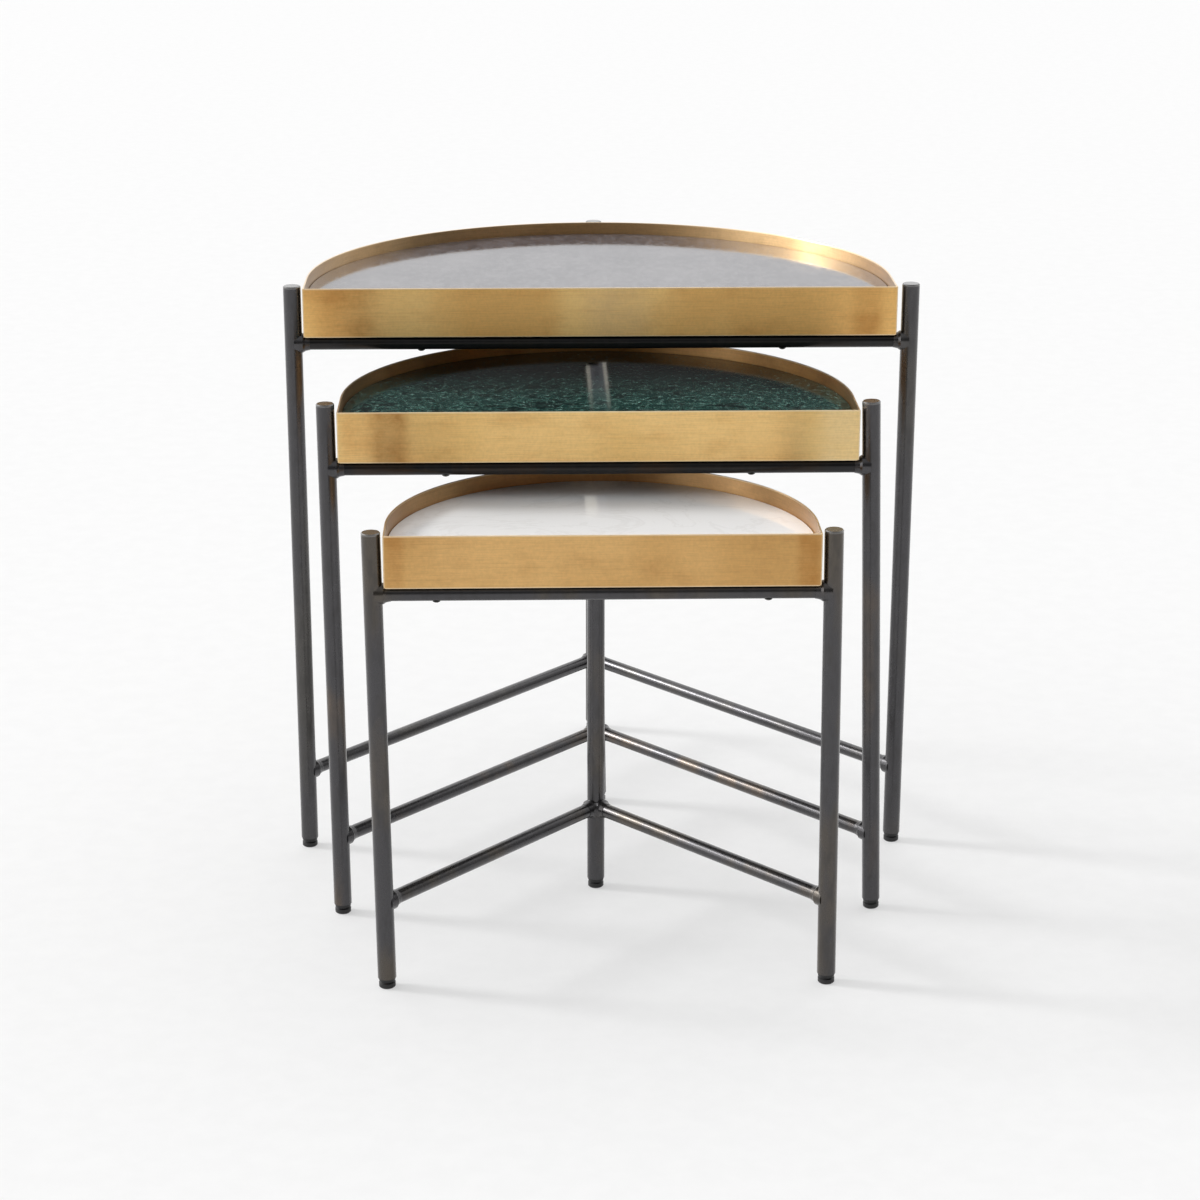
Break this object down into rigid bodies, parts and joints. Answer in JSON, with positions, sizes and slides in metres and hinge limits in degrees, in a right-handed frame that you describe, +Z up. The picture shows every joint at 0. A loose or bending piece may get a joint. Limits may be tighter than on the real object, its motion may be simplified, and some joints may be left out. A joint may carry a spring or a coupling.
{
  "type": "nesting tables",
  "caption": "Half-moon nesting tables: brass trays with inset marble tops on slim steel tube legs, the smaller tables sliding under the larger.",
  "frame": {"origin": "centre of the set's footprint on the floor, with the tables drawn part way out of the nest", "axes": "+Z up, -Y towards the flat fronts, +X to the right seen from the front"},
  "size_m": [0.5784, 0.6489, 0.5485],
  "materials": {
    "gunmetal": "antiqued gunmetal, satin",
    "antique_brass": "brushed and antiqued",
    "grey_marble": "polished",
    "green_marble": "polished",
    "white_marble": "polished",
    "black_plastic": "matt",
    "board": "raw fibreboard",
    "screw_steel": "dull zinc"
  },
  "bodies": {
    "large": {"large_front_leg_left": "gunmetal", "large_front_leg_right": "gunmetal", "large_rear_leg": "gunmetal", "large_leg_caps": "gunmetal", "large_glides": "black_plastic", "large_front_bar": "gunmetal", "large_spine_bar": "gunmetal", "large_stretcher_left": "gunmetal", "large_stretcher_right": "gunmetal", "large_welds": "gunmetal", "large_tray_front": "antique_brass", "large_tray_band": "antique_brass", "large_tray_floor": "gunmetal", "large_core_board": "board", "large_marble_top": "grey_marble", "large_tray_screws": "screw_steel"},
    "medium": {"medium_front_leg_left": "gunmetal", "medium_front_leg_right": "gunmetal", "medium_rear_leg": "gunmetal", "medium_leg_caps": "gunmetal", "medium_glides": "black_plastic", "medium_front_bar": "gunmetal", "medium_spine_bar": "gunmetal", "medium_stretcher_left": "gunmetal", "medium_stretcher_right": "gunmetal", "medium_welds": "gunmetal", "medium_tray_front": "antique_brass", "medium_tray_band": "antique_brass", "medium_tray_floor": "gunmetal", "medium_core_board": "board", "medium_marble_top": "green_marble", "medium_tray_screws": "screw_steel"},
    "small": {"small_front_leg_left": "gunmetal", "small_front_leg_right": "gunmetal", "small_rear_leg": "gunmetal", "small_leg_caps": "gunmetal", "small_glides": "black_plastic", "small_front_bar": "gunmetal", "small_spine_bar": "gunmetal", "small_stretcher_left": "gunmetal", "small_stretcher_right": "gunmetal", "small_welds": "gunmetal", "small_tray_front": "antique_brass", "small_tray_band": "antique_brass", "small_tray_floor": "gunmetal", "small_core_board": "board", "small_marble_top": "white_marble", "small_tray_screws": "screw_steel"}
  },
  "joints": [
    {"name": "medium_slide", "type": "slide", "parent": "large", "child": "medium", "axis": [0, 1, 0], "range_m": [-0.15, 0.155]},
    {"name": "small_slide", "type": "slide", "parent": "medium", "child": "small", "axis": [0, 1, 0], "range_m": [-0.15, 0.155]}
  ]
}
